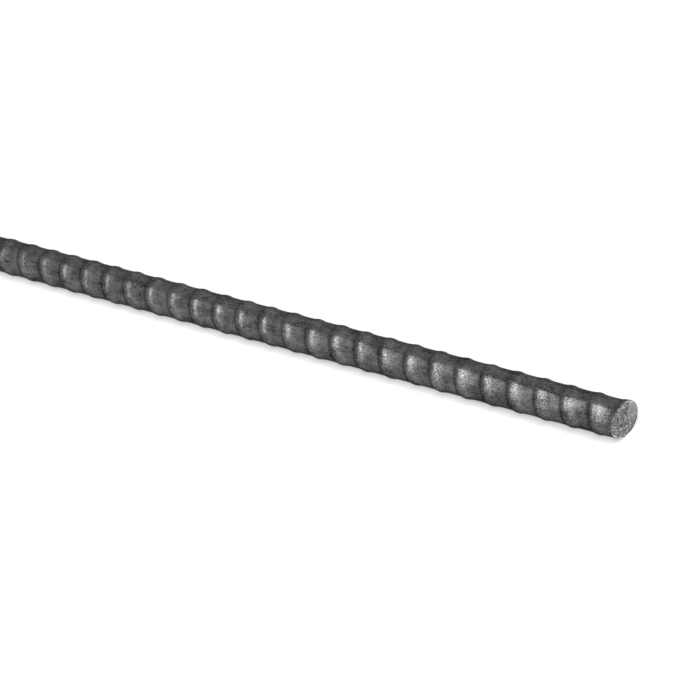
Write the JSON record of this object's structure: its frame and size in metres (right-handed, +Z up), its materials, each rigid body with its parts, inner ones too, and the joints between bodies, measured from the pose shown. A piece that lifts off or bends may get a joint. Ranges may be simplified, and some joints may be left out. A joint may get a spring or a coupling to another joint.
{
  "type": "steel reinforcing bar",
  "caption": "Straight deformed steel reinforcing bar: round with two opposed rolled flats, slanting transverse ribs, mill scale and sheared ends.",
  "frame": {"origin": "under the middle of the bar, at the height of the level surface that it lies on", "axes": "+X along the bar towards the sheared end that the picture shows, +Z up, square to the two rolled flats"},
  "size_m": [0.6096, 0.0126, 0.0122],
  "materials": {
    "mill_scale_steel": "dark mill scale, semi-gloss, as rolled"
  },
  "bodies": {
    "root": {"rebar": "mill_scale_steel"}
  },
  "joints": []
}
